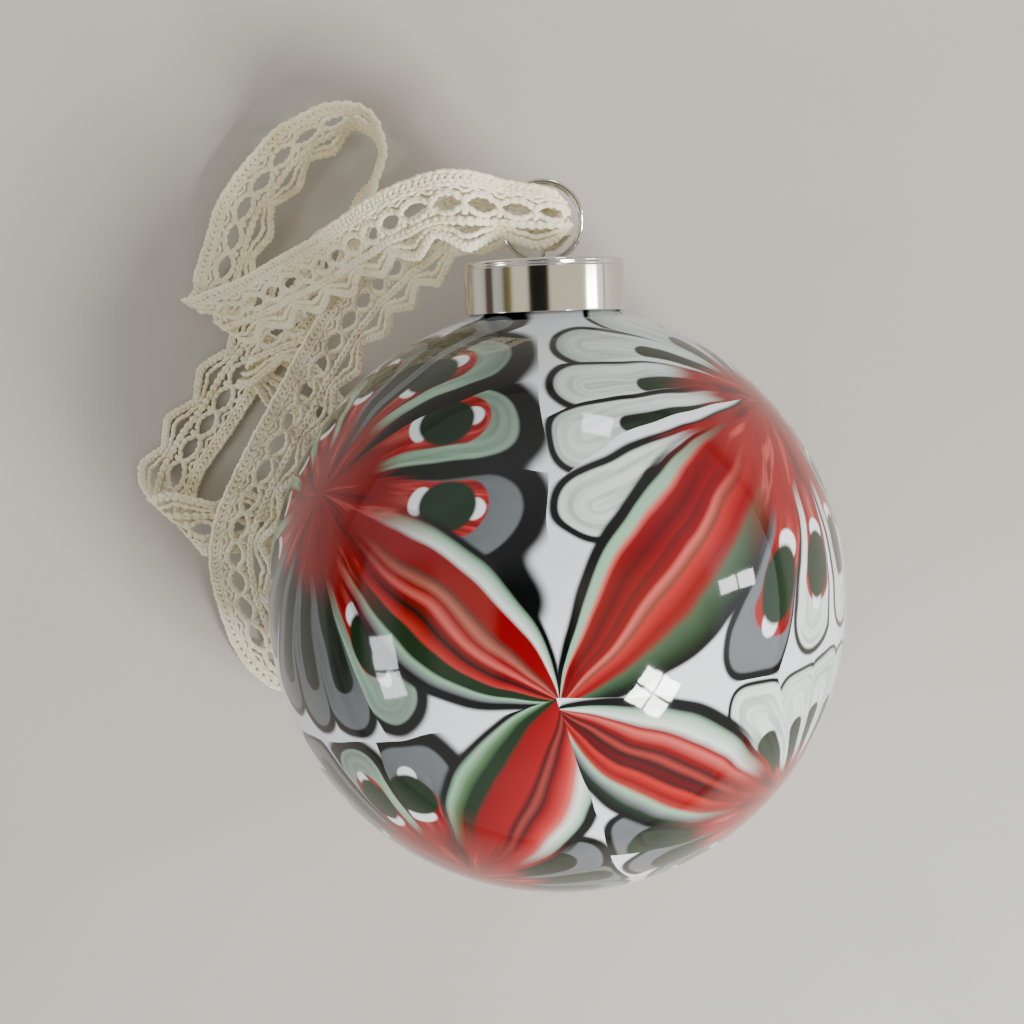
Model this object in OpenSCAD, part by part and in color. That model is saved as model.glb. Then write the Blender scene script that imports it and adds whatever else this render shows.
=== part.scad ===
// Glass ball ornament, lying on its side as on a table.
// Origin: the point where the ball rests. +Z is up, and the cap points along +Y.
// The ball's centre is one ball radius above the origin. Cap, clip and ring sizes
// along the axis are measured from that centre.

/* [Ball] */
// Outer diameter of the ball
ball_d = 80; // [60:1:100]
// Thickness of the glass with its painted coat
glass_wall = 1.0; // [0.6:0.1:2]
// Outer diameter of the neck
neck_d = 19; // [16:0.5:24]
// How much longer than round the ball is, towards its neck
ball_stretch = 1.2; // [0:0.1:3]
// Radius of the sweep from ball to neck
shoulder_fillet = 2.9; // [2:0.1:6]

/* [Cap] */
// Gap between the neck and the cap's skirt, all round
skirt_gap = 1.0; // [0.4:0.1:1.5]
// Thickness of the cap's skirt
cap_wall = 0.5; // [0.3:0.1:0.8]
// Height of the cap from its lower edge to the top of its lip
cap_h = 7.0; // [6:0.1:10]
// Thickness of the cap's top plate
plate_t = 0.4; // [0.3:0.1:0.6]
// Height of the lip above the top plate
lip_h = 1.0; // [0.6:0.1:1.5]
// Width of the lip
lip_w = 0.7; // [0.6:0.1:1.2]
// Diameter of the hole that the clip passes through
plate_hole_d = 5.2; // [4.6:0.1:8]
// Width of the groove below the lip
groove_w = 0.16; // [0.1:0.02:0.3]
// Depth of the groove below the lip
groove_depth = 0.12; // [0.05:0.01:0.2]
// Clearance where the cap sits on the shoulder and the neck
seat_gap = 0.12; // [0.05:0.01:0.3]

/* [Ring and clip] */
// Outer diameter of the split ring
ring_d = 11.6; // [9:0.1:16]
// Wire diameter of the split ring
ring_wire = 0.8; // [0.6:0.1:1.2]
// Gap between the two coils of the split ring
coil_gap = 0.05; // [0.02:0.01:0.2]
// Angle over which the wire steps from one coil to the other
coil_step = 40; // [30:5:60]
// Clearance round the ring's wires in the clip's eye
eye_gap = 0.12; // [0.1:0.01:0.4]
// Wire diameter of the spring clip
clip_wire = 0.8; // [0.6:0.1:1]
// How far the clip's legs reach below the neck's top
leg_drop = 8; // [7:0.5:12]
// Clearance between the clip's legs and the neck's bore
leg_gap = 0.3; // [0.2:0.1:0.6]

/* [Lace] */
// Width of the lace over its scallops
lace_w = 11; // [9:0.5:12]
// Thickness of the lace
lace_t = 1.0; // [0.6:0.1:1.1]
// Diameter of the knot
knot_d = 8; // [7.5:0.5:9]

/* [Hidden] */

glass_red = [0.68, 0.12, 0.13];
bright_metal = [0.80, 0.79, 0.76];
cream = [0.90, 0.87, 0.78];

ball_r = ball_d / 2;
neck_r = neck_d / 2;
cap_r = neck_r + skirt_gap + cap_wall;

// Centre of the concave arc that sweeps from the ball to the neck
fillet_x = neck_r + shoulder_fillet;
fillet_y = ball_stretch + sqrt(pow(ball_r + shoulder_fillet, 2) - pow(fillet_x, 2));
function shoulder_height(r) =
    fillet_y - sqrt(pow(shoulder_fillet, 2) - pow(fillet_x - r, 2));

// Heights along the axis
cap_base = shoulder_height(cap_r - cap_wall) + seat_gap;
cap_top = cap_base + cap_h;
plate_top = cap_top - lip_h;
neck_top = plate_top - plate_t - seat_gap;

// The ring hangs by its lowest point in the clip's eye, and can tip there
coil_pitch = ring_wire + coil_gap;
ring_r = (ring_d - ring_wire) / 2;
stack_half = coil_pitch / 2 + ring_wire / 2;
hinge_y = plate_top + eye_gap + stack_half;
ring_y = hinge_y + ring_r;
eye_half = stack_half + eye_gap + clip_wire / 2;
eye_top = hinge_y + stack_half + eye_gap + clip_wire / 2;
hole_leg = plate_hole_d / 2 - clip_wire / 2 - eye_gap;
bore_leg = neck_r - glass_wall - clip_wire / 2 - leg_gap;

arc_facets = 96;
wire_sides = 8;
coil_steps = 24;
eye_steps = 8;

// Route of the lace: [x, y, z, heading direction, heading tilt, width share].
// The heading is the straight edge of the lace. Its direction is an angle in the
// table's plane, and its tilt is an angle above the table.
ribbon_route = [
    [-41, 4, 3.6, 365, 0, 0.5], [-38.5, -1, 3, 360, 0, 0.9], [-37.5, -7.5, 2, 345, 0, 1],
    [-40, -14, 1.5, 300, 0, 1], [-44.5, -16.5, 1.5, 260, 5, 1], [-49, -12.5, 2, 210, 10, 1],
    [-51, -5.5, 3.5, 172, 15, 1], [-51.5, 2, 6, 178, 15, 1], [-50, 8, 7.5, 168, 12, 1],
    [-47, 14, 8, 160, 15, 1], [-43, 21, 8.5, 154, 20, 1], [-38.5, 28, 9.5, 152, 22, 1],
    [-33, 36, 13, 146, 22, 1], [-27, 42.5, 19, 138, 18, 1], [-21, 47, 27, 124, 12, 1],
    [-15, 50.5, 33, 104, 6, 0.95], [-10, 53, 36, 92, 0, 0.85], [-5.5, 52.8, 37, 90, 0, 0.8],
    [1, 52.5, 37, 90, 0, 0.7], [3, 52.5, 38.5, 90, 0, 0.55], [3.5, 52.5, 40, 90, 0, 0.48],
    [3, 52.5, 41.5, 90, 0, 0.55], [1, 52.7, 43, 90, 0, 0.75], [-5.5, 53.3, 44, 90, 0, 0.9],
    [-9.5, 53.8, 46, 92, 0, 1], [-14, 54, 44.5, 98, 0, 1], [-20, 52.5, 40, 112, 0, 1],
    [-25.5, 50.5, 33, 120, 0, 1], [-31.5, 48, 25, 123, 0, 1], [-38, 46, 17, 124, 0, 1],
    [-45, 43.5, 10, 130, 0, 1], [-50.5, 42, 6.5, 140, 0, 1], [-54, 41.5, 4.4, 146, 0, 1],
    [-52.5, 45, 2.6, 152, 0, 1], [-52, 47.5, 2.8, 162, 12, 1], [-50, 52, 4, 162, 25, 1],
    [-47.5, 58.5, 4.4, 155, 30, 1], [-43.5, 63.5, 4.8, 145, 36, 1], [-39, 68, 5.2, 130, 44, 1],
    [-34, 71, 5.6, 112, 56, 1], [-29.5, 72.5, 6, 80, 70, 1], [-26.5, 71, 6.2, 45, 78, 1],
    [-25, 67.5, 6.2, 0, 80, 1], [-26, 64, 6.2, -10, 78, 1], [-28, 60, 6, -20, 68, 1],
    [-31, 55.5, 5, -30, 48, 1], [-36, 50.5, 3.2, -35, 25, 1], [-41.5, 44.5, 1.4, -38, 8, 1],
    [-47, 39, 0.8, -38, 0, 1], [-52, 33.5, 0.8, -34, 0, 1], [-57.5, 26, 0.8, -33, 0, 1],
    [-62.5, 19.5, 1, -36, 0, 1], [-64.5, 15, 1.6, -42, 0, 1], [-65, 11.5, 3, -46, -8, 1],
    [-63, 9, 5, -52, -10, 1], [-60, 8.5, 5.6, -68, -5, 1], [-56.5, 8.5, 4.8, -84, 0, 1],
    [-52, 8.5, 3, -88, 0, 1], [-47, 8, 2.6, -86, 0, 0.9], [-42.5, 7.5, 3.6, -85, 0, 0.5]
];
tail_long_route = [
    [-38.7, 9.8, 3.6, 0, 0, 0.5], [-37.5, 16, 2.6, 0, 0, 0.9], [-37.5, 21.5, 2, 5, 0, 1],
    [-39.5, 27, 2.2, 25, 0, 1], [-43, 31, 3, 45, 0, 1], [-46.5, 33.5, 4, 55, 0, 1],
    [-48.3, 35.3, 5.2, 62, 0, 1], [-46.3, 36.8, 6.6, 72, 0, 1], [-42.5, 38, 7, 80, 0, 1],
    [-38.5, 39.5, 7.4, 84, 0, 1]
];
tail_short_route = [
    [-36.6, 5.6, 3.6, 90, 0, 0.5], [-33.5, 5.2, 2.2, 90, 0, 0.7], [-29.5, 4.5, 1.2, 88, 0, 0.95],
    [-23, 3.5, 0.8, 86, 0, 1]
];
knot_at = [-39.5, 6.5];

// Puts a shape drawn round the axis, with its height along +Z, on the ball's axis
module on_axis() {
    translate([0, 0, ball_r]) rotate([-90, 0, 0]) children();
}

// Half section of a ball with a neck, filled up to the neck's top
module ball_section(r, neck, fillet, top) {
    intersection() {
        union() {
            circle(r, $fn = arc_facets);
            translate([0, ball_stretch]) circle(r, $fn = arc_facets);
            translate([-r, 0]) square([2 * r, ball_stretch]);
            translate([-neck, 0]) square([2 * neck, top]);
            difference() {
                polygon([[0, ball_stretch], [fillet_x, fillet_y], [0, fillet_y]]);
                translate([fillet_x, fillet_y]) circle(fillet, $fn = arc_facets);
            }
        }
        translate([0, -r]) square([2 * r, r + top]);
    }
}

module glass_ball() {
    rim = glass_wall / 2;
    color(glass_red) on_axis() rotate_extrude($fn = arc_facets) {
        difference() {
            ball_section(ball_r, neck_r, shoulder_fillet, neck_top - rim);
            ball_section(ball_r - glass_wall, neck_r - glass_wall,
                shoulder_fillet + glass_wall, neck_top);
        }
        translate([neck_r - rim, neck_top - rim]) circle(rim, $fn = 24);
    }
}

module cap() {
    lip_r = lip_w / 2;
    color(bright_metal) on_axis() rotate_extrude($fn = arc_facets) difference() {
        union() {
            translate([cap_r - cap_wall, cap_base]) square([cap_wall, cap_h - lip_r]);
            translate([plate_hole_d / 2, plate_top - plate_t])
                square([cap_r - plate_hole_d / 2, plate_t]);
            translate([cap_r - lip_w, plate_top - plate_t])
                square([lip_w, lip_h + plate_t - lip_r]);
            translate([cap_r - lip_r, cap_top - lip_r]) circle(lip_r, $fn = 24);
        }
        translate([cap_r - groove_depth, cap_top - lip_w - groove_w])
            square([groove_depth + 1, groove_w]);
    }
}

function unit(v) = v / norm(v);

// Direction of travel at point i of a list of points
function travel(p, i) = unit(p[min(i + 1, len(p) - 1)] - p[max(i - 1, 0)]);

// One closed solid from rings of points, each ring with the same number of points
module skin(rings) {
    sides = len(rings[0]);
    last = len(rings) - 1;
    walls = [for (i = [0:last - 1], k = [0:sides - 1])
        let (a = i * sides + k, b = i * sides + (k + 1) % sides)
            each [[a, b, b + sides], [a, b + sides, a + sides]]];
    ends = [[for (k = [sides - 1:-1:0]) k], [for (k = [0:sides - 1]) last * sides + k]];
    polyhedron([for (ring = rings) each ring], concat(walls, ends));
}

// A round wire along points. side is a direction that the wire never runs along.
module wire(p, diameter, side) {
    skin([for (i = [0:len(p) - 1])
        let (t = travel(p, i), a = unit(cross(side, t)), b = cross(t, a))
            [for (k = [0:wire_sides - 1])
                p[i] + diameter / 2 * (cos(k * 360 / wire_sides) * a
                    + sin(k * 360 / wire_sides) * b)]]);
}

// A two-coil split ring: one coil, a step across, and the other coil
module split_ring() {
    step_share = function (a) min(1, max(0, (a - (360 - coil_step / 2)) / coil_step));
    smooth = function (s) s * s * (3 - 2 * s);
    first = coil_step / 2;
    turn = (720 - coil_step) / (2 * coil_steps);
    path = [for (i = [0:2 * coil_steps]) let (a = first + i * turn)
        [ring_r * cos(a), ring_y + ring_r * sin(a),
            ball_r + coil_pitch * (smooth(step_share(a)) - 0.5)]];
    color(bright_metal) wire(path, ring_wire, [0, 0, 1]);
}

// A sprung wire: an eye above the cap's plate, and two legs that spread in the neck
module spring_clip() {
    leg = [[bore_leg + 1.2, neck_top - leg_drop], [bore_leg, neck_top - leg_drop / 2],
        [bore_leg * 0.6, neck_top - 2], [hole_leg, neck_top - 0.3], [hole_leg - 0.05, plate_top - 0.1],
        [eye_half, hinge_y]];
    eye = [for (i = [1:eye_steps - 1]) let (a = i * 180 / eye_steps)
        [eye_half * cos(a), hinge_y + (eye_top - hinge_y) * sin(a)]];
    half_path = concat(leg, eye);
    path = concat(half_path, [for (i = [len(leg) - 1:-1:0]) [-leg[i][0], leg[i][1]]]);
    color(bright_metal)
        wire([for (q = path) [0, q[1], ball_r + q[0]]], clip_wire, [1, 0, 0]);
}

// A flat strip along a route, with its heading edge in each point's own direction
module strip(route) {
    p = [for (q = route) [q[0], q[1], q[2]]];
    thick = lace_t / 2;
    skin([for (i = [0:len(route) - 1])
        let (q = route[i], t = travel(p, i),
            w = [cos(q[4]) * cos(q[3]), cos(q[4]) * sin(q[3]), sin(q[4])],
            square_on = max(0.6, norm(cross(t, w))), n = unit(cross(t, w)),
            half = lace_w * q[5] / 2,
            outline = [[half, thick / 2], [half - thick, thick],
                [thick - half, thick], [-half, thick / 2]],
            corners = concat(outline, [for (k = [3:-1:0]) [outline[k][0], -outline[k][1]]]))
            [for (c = corners) p[i] + c[0] / square_on * w + c[1] * n]]);
}

module lace_ribbon() {
    color(cream) strip(ribbon_route);
}

module lace_knot() {
    color(cream) translate([knot_at[0], knot_at[1], knot_d / 2 + 0.1])
        sphere(d = knot_d, $fn = 48);
}

module lace_tail_long() {
    color(cream) strip(tail_long_route);
}

module lace_tail_short() {
    color(cream) strip(tail_short_route);
}

glass_ball();
cap();
spring_clip();
split_ring();
lace_ribbon();
lace_knot();
lace_tail_long();
lace_tail_short();
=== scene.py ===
"""Glass ball ornament on its side: painted ball, plated cap, split ring, wire clip and a loop of cotton lace.

Sizes are in millimetres and are turned into metres where a mesh is made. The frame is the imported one:
the ball rests on the origin, +Z is up and the cap points along +Y.
"""
import math

import bpy
import numpy as np
from mathutils import Matrix, Vector


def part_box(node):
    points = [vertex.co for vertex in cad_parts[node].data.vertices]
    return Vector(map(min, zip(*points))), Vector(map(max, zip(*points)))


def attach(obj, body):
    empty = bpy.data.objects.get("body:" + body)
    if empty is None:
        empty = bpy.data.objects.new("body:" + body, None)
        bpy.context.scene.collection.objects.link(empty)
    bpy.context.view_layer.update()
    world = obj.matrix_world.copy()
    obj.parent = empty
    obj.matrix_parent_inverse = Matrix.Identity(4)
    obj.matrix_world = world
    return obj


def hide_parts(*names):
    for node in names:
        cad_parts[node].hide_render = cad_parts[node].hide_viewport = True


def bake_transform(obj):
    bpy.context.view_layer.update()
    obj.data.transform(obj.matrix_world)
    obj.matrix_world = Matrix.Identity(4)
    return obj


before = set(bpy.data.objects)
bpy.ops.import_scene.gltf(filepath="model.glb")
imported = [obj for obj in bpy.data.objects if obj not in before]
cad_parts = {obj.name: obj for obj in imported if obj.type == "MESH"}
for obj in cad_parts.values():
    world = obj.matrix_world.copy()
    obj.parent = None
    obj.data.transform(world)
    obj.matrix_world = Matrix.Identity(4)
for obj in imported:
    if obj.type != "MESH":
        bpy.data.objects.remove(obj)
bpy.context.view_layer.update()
MM = 0.001


def node_size(node):
    low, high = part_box(node)
    return (high - low) / MM


# ---------------------------------------------------------------- driving sizes, from the frame
BALL_R = node_size("glass_ball").x / 2
STRETCH = 1.2
BALL_Z = 40.0
CAP_R = node_size("cap").x / 2
CAP_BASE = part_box("cap")[0].y / MM
CAP_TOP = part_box("cap")[1].y / MM
RING_Y = (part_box("split_ring")[0].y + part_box("split_ring")[1].y) / 2 / MM

# the same values as in the part's source
GLASS = 1.0
NECK_R = 9.5
FILLET = 2.9
CAP_WALL = 0.5
PLATE = 0.4
LIP_H = 1.0
LIP_W = 0.7
SEAT_GAP = 0.12
PLATE_HOLE_R = 2.6
RING_WIRE = 0.8
RING_R = 5.4
COIL_PITCH = 0.85
CLIP_WIRE = 0.8
EYE_GAP = 0.12
LEG_DROP = 8.0
LEG_GAP = 0.3
LACE_W = 11.0
WINDOW_FAR = 600.0  # from the ball to every window
WINDOW_BAR = 10.0  # between two panes


# ---------------------------------------------------------------- camera
def make_camera():
    """Nearly overhead, a little past the ball's cap end, as close as a hand-held phone."""
    at = Vector((0, 37, 240)) * MM
    forward = Vector((-0.0282, -0.1214, -1.0)).normalized()
    roll = -0.0383
    side = forward.cross(Vector((0, 1, 0))).normalized()
    up = side.cross(forward)
    right = math.cos(roll) * side + math.sin(roll) * up
    up = math.cos(roll) * up - math.sin(roll) * side
    turn = Matrix((right, up, -forward)).transposed().to_4x4()
    data = bpy.data.cameras.new("camera")
    data.sensor_width = 36
    data.lens = 50.5
    data.clip_start = 0.005
    camera = bpy.data.objects.new("camera", data)
    camera.matrix_world = Matrix.Translation(at) @ turn
    bpy.context.collection.objects.link(camera)
    bpy.context.scene.camera = camera


make_camera()


# ---------------------------------------------------------------- mesh helpers
def mesh_object(name, points_mm, faces, material=None, sharp_deg=35):
    mesh = bpy.data.meshes.new(name)
    mesh.from_pydata((np.asarray(points_mm) * MM).tolist(), [], faces)
    mesh.polygons.foreach_set("use_smooth", [True] * len(mesh.polygons))
    if sharp_deg:
        mesh.set_sharp_from_angle(angle=math.radians(sharp_deg))
    mesh.update()
    piece = bpy.data.objects.new(name, mesh)
    bpy.context.collection.objects.link(piece)
    if material:
        mesh.materials.append(material)
    return piece


def arc(cx, cy, r, start, end, steps):
    """Points on an arc, both ends included. Angles in degrees."""
    return [
        (cx + r * math.cos(math.radians(a)), cy + r * math.sin(math.radians(a)))
        for a in np.linspace(start, end, steps)
    ]


def lathe(name, outline, segments, material, closed=True, sharp_deg=35):
    """Turns an outline of (radius, height from the ball's centre) round the ball's axis."""
    points, rings, faces = [], [], []
    for r, y in outline:
        if r < 1e-6:
            rings.append([len(points)])
            points.append((0, y, BALL_Z))
            continue
        rings.append(list(range(len(points), len(points) + segments)))
        for k in range(segments):
            a = 2 * math.pi * k / segments
            points.append((r * math.cos(a), y, BALL_Z - r * math.sin(a)))
    pairs = list(zip(rings, rings[1:]))
    if closed:
        pairs.append((rings[-1], rings[0]))
    for low, high in pairs:
        for k in range(segments):
            j = (k + 1) % segments
            corners = [low[k % len(low)], low[j % len(low)], high[j % len(high)], high[k % len(high)]]
            face = list(dict.fromkeys(corners))
            if len(face) > 2:
                faces.append(face)
    return mesh_object(name, points, faces, material, sharp_deg)


def tube(name, path, radius, material, side, sides=20, loops=False):
    """A round wire along a path. side is a direction that the wire never runs along."""
    p = np.asarray(path, float)
    t = np.gradient(p, axis=0)
    t /= np.linalg.norm(t, axis=1)[:, None]
    a = np.cross(side, t)
    a /= np.linalg.norm(a, axis=1)[:, None]
    b = np.cross(t, a)
    turn = np.arange(sides) * 2 * math.pi / sides
    rings = (
        p[:, None]
        + radius * np.cos(turn)[None, :, None] * a[:, None]
        + radius * np.sin(turn)[None, :, None] * b[:, None]
    )
    faces = []
    for i in range(len(p) - 1):
        for k in range(sides):
            j = (k + 1) % sides
            faces.append([i * sides + k, i * sides + j, (i + 1) * sides + j, (i + 1) * sides + k])
    faces.append(list(range(sides))[::-1])
    faces.append([(len(p) - 1) * sides + k for k in range(sides)])
    return mesh_object(name, rings.reshape(-1, 3), faces, material, sharp_deg=50)


# ---------------------------------------------------------------- node helpers for materials
class Shader:
    """Builds one material's nodes. Values are sockets or numbers."""

    def __init__(self, name):
        self.material = bpy.data.materials.new(name)
        self.material.use_nodes = True
        self.tree = self.material.node_tree
        self.tree.nodes.clear()
        self.principled = self.node("ShaderNodeBsdfPrincipled")
        output = self.node("ShaderNodeOutputMaterial")
        self.tree.links.new(self.principled.outputs[0], output.inputs[0])

    def node(self, kind, **settings):
        made = self.tree.nodes.new(kind)
        for key, value in settings.items():
            setattr(made, key, value)
        return made

    def put(self, socket, value):
        if isinstance(value, bpy.types.NodeSocket):
            self.tree.links.new(value, socket)
        else:
            socket.default_value = value

    def math(self, kind, a, b=None, c=None, clamp=False):
        made = self.node("ShaderNodeMath", operation=kind, use_clamp=clamp)
        for socket, value in zip(made.inputs, (a, b, c)):
            if value is not None:
                self.put(socket, value)
        return made.outputs[0]

    def dot(self, vector, direction):
        made = self.node("ShaderNodeVectorMath", operation="DOT_PRODUCT")
        self.put(made.inputs[0], vector)
        made.inputs[1].default_value = direction
        return made.outputs["Value"]

    def step(self, value, low, high):
        """0 below low, 1 above high, smooth between."""
        made = self.node("ShaderNodeMapRange", interpolation_type="SMOOTHSTEP")
        self.put(made.inputs["Value"], value)
        self.put(made.inputs["From Min"], low)
        self.put(made.inputs["From Max"], high)
        return made.outputs[0]

    def mix(self, share, a, b):
        made = self.node("ShaderNodeMix", data_type="RGBA")
        self.put(made.inputs["Factor"], share)
        for socket, value in ((made.inputs[6], a), (made.inputs[7], b)):
            self.put(socket, value if isinstance(value, bpy.types.NodeSocket) else (*value, 1))
        return made.outputs[2]

    def ramp(self, value, stops, interpolation="LINEAR"):
        made = self.node("ShaderNodeValToRGB")
        self.put(made.inputs[0], value)
        made.color_ramp.interpolation = interpolation
        steps = made.color_ramp.elements
        while len(steps) < len(stops):
            steps.new(0.5)
        for element, (at, colour) in zip(steps, stops):
            element.position = at
            element.color = (*colour, 1)
        return made.outputs[0]

    def noise(self, vector, scale, detail=2.0, rough=0.5, output="Fac"):
        made = self.node("ShaderNodeTexNoise")
        self.put(made.inputs["Vector"], vector)
        made.inputs["Scale"].default_value = scale
        made.inputs["Detail"].default_value = detail
        made.inputs["Roughness"].default_value = rough
        return made.outputs[output]

    def place(self):
        return self.node("ShaderNodeTexCoord").outputs["Object"]

    def bump(self, height, strength, distance_mm):
        made = self.node("ShaderNodeBump")
        made.inputs["Strength"].default_value = strength
        made.inputs["Distance"].default_value = distance_mm * MM
        self.put(made.inputs["Height"], height)
        self.tree.links.new(made.outputs[0], self.principled.inputs["Normal"])

    def surface(self, **values):
        for key, value in values.items():
            self.put(self.principled.inputs[key.replace("_", " ")], value)
        return self.material


def srgb(r, g, b):
    """A colour given as 0 to 255 in sRGB, as the linear values that nodes take."""
    return tuple(((c / 255 + 0.055) / 1.055) ** 2.4 if c > 10 else c / 255 / 12.92 for c in (r, g, b))


# ---------------------------------------------------------------- lace
# [x, y, z, heading direction, heading tilt, width share], as in the part's source
RIBBON_ROUTE = [
    [-41, 4, 3.6, 365, 0, 0.5], [-38.5, -1, 3, 360, 0, 0.9], [-37.5, -7.5, 2, 345, 0, 1],
    [-40, -14, 1.5, 300, 0, 1], [-44.5, -16.5, 1.5, 260, 5, 1], [-49, -12.5, 2, 210, 10, 1],
    [-51, -5.5, 3.5, 172, 15, 1], [-51.5, 2, 6, 178, 15, 1], [-50, 8, 7.5, 168, 12, 1],
    [-47, 14, 8, 160, 15, 1], [-43, 21, 8.5, 154, 20, 1], [-38.5, 28, 9.5, 152, 22, 1],
    [-33, 36, 13, 146, 22, 1], [-27, 42.5, 19, 138, 18, 1], [-21, 47, 27, 124, 12, 1],
    [-15, 50.5, 33, 104, 6, 0.95], [-10, 53, 36, 92, 0, 0.85], [-5.5, 52.8, 37, 90, 0, 0.8],
    [1, 52.5, 37, 90, 0, 0.7], [3, 52.5, 38.5, 90, 0, 0.55], [3.5, 52.5, 40, 90, 0, 0.48],
    [3, 52.5, 41.5, 90, 0, 0.55], [1, 52.7, 43, 90, 0, 0.75], [-5.5, 53.3, 44, 90, 0, 0.9],
    [-9.5, 53.8, 46, 92, 0, 1], [-14, 54, 44.5, 98, 0, 1], [-20, 52.5, 40, 112, 0, 1],
    [-25.5, 50.5, 33, 120, 0, 1], [-31.5, 48, 25, 123, 0, 1], [-38, 46, 17, 124, 0, 1],
    [-45, 43.5, 10, 130, 0, 1], [-50.5, 42, 6.5, 140, 0, 1], [-54, 41.5, 4.4, 146, 0, 1],
    [-52.5, 45, 2.6, 152, 0, 1], [-52, 47.5, 2.8, 162, 12, 1], [-50, 52, 4, 162, 25, 1],
    [-47.5, 58.5, 4.4, 155, 30, 1], [-43.5, 63.5, 4.8, 145, 36, 1], [-39, 68, 5.2, 130, 44, 1],
    [-34, 71, 5.6, 112, 56, 1], [-29.5, 72.5, 6, 80, 70, 1], [-26.5, 71, 6.2, 45, 78, 1],
    [-25, 67.5, 6.2, 0, 80, 1], [-26, 64, 6.2, -10, 78, 1], [-28, 60, 6, -20, 68, 1],
    [-31, 55.5, 5, -30, 48, 1], [-36, 50.5, 3.2, -35, 25, 1], [-41.5, 44.5, 1.4, -38, 8, 1],
    [-47, 39, 0.8, -38, 0, 1], [-52, 33.5, 0.8, -34, 0, 1], [-57.5, 26, 0.8, -33, 0, 1],
    [-62.5, 19.5, 1, -36, 0, 1], [-64.5, 15, 1.6, -42, 0, 1], [-65, 11.5, 3, -46, -8, 1],
    [-63, 9, 5, -52, -10, 1], [-60, 8.5, 5.6, -68, -5, 1], [-56.5, 8.5, 4.8, -84, 0, 1],
    [-52, 8.5, 3, -88, 0, 1], [-47, 8, 2.6, -86, 0, 0.9], [-42.5, 7.5, 3.6, -85, 0, 0.5],
]
TAIL_LONG_ROUTE = [
    [-38.7, 9.8, 3.6, 0, 0, 0.5], [-37.5, 16, 2.6, 0, 0, 0.9], [-37.5, 21.5, 2, 5, 0, 1],
    [-39.5, 27, 2.2, 25, 0, 1], [-43, 31, 3, 45, 0, 1], [-46.5, 33.5, 4, 55, 0, 1],
    [-48.3, 35.3, 5.2, 62, 0, 1], [-46.3, 36.8, 6.6, 72, 0, 1], [-42.5, 38, 7, 80, 0, 1],
    [-38.5, 39.5, 7.4, 84, 0, 1],
]
TAIL_SHORT_ROUTE = [
    [-36.6, 5.6, 3.6, 90, 0, 0.5], [-33.5, 5.2, 2.2, 90, 0, 0.7], [-29.5, 4.5, 1.2, 88, 0, 0.95],
    [-23, 3.5, 0.8, 86, 0, 1],
]
KNOT_AT = (-39.5, 6.5)

FINE = 0.25  # spacing of the points that a route is worked out at
YARN_STEP = 0.5  # spacing of a yarn's rings
SCALLOP = 10.0  # length of one scallop
HOLE = SCALLOP / 2  # length of one main hole with its bar


def spline(rows, per_span=16):
    """Catmull-Rom through rows of values."""
    r = np.asarray(rows, float)
    r = np.vstack([2 * r[0] - r[1], r, 2 * r[-1] - r[-2]])
    s = np.linspace(0, 1, per_span, endpoint=False)[:, None]
    found = []
    for a, b, c, d in zip(r, r[1:], r[2:], r[3:]):
        found.append(
            0.5 * (2 * b + (c - a) * s + (2 * a - 5 * b + 4 * c - d) * s**2 + (3 * b - a - 3 * c + d) * s**3)
        )
    return np.vstack([*found, r[-2:-1]])


class Ribbon:
    """A flat strip's middle line and directions, at even steps along it."""

    def __init__(self, route):
        rows = spline(route)
        along = np.concatenate([[0], np.cumsum(np.linalg.norm(np.diff(rows[:, :3], axis=0), axis=1))])
        self.length = along[-1]
        self.s = np.arange(0, self.length, FINE)
        rows = np.column_stack([np.interp(self.s, along, column) for column in rows.T])
        self.p = rows[:, :3]
        turn, tilt = np.radians(rows[:, 3]), np.radians(rows[:, 4])
        self.w = np.column_stack([np.cos(tilt) * np.cos(turn), np.cos(tilt) * np.sin(turn), np.sin(tilt)])
        t = np.gradient(self.p, axis=0)
        t /= np.linalg.norm(t, axis=1)[:, None]
        n = np.cross(t, self.w)
        size = np.linalg.norm(n, axis=1)
        self.n = n / size[:, None]
        self.stretch = 1 / np.maximum(0.8, size)
        self.share = rows[:, 5]

    def at(self, s, v, h):
        """Points s along, v in from the heading edge and h off the face."""
        def pick(values):
            if values.ndim == 1:
                return np.interp(s, self.s, values)
            return np.column_stack([np.interp(s, self.s, column) for column in values.T])

        share = pick(self.share)
        u = (LACE_W / 2 - v) * share
        # gathered lace stands up in soft pleats, and flat lace is never quite flat
        pleat = (1 - share) * 0.9 * np.sin(1.7 * v)
        wave = 0.16 * np.sin(s * 0.9 + 0.5 * v) + 0.1 * np.sin(s * 0.37 + 1)
        lift = h + pleat + wave
        return pick(self.p) + (u * pick(self.stretch))[:, None] * pick(self.w) + lift[:, None] * pick(self.n)


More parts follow.
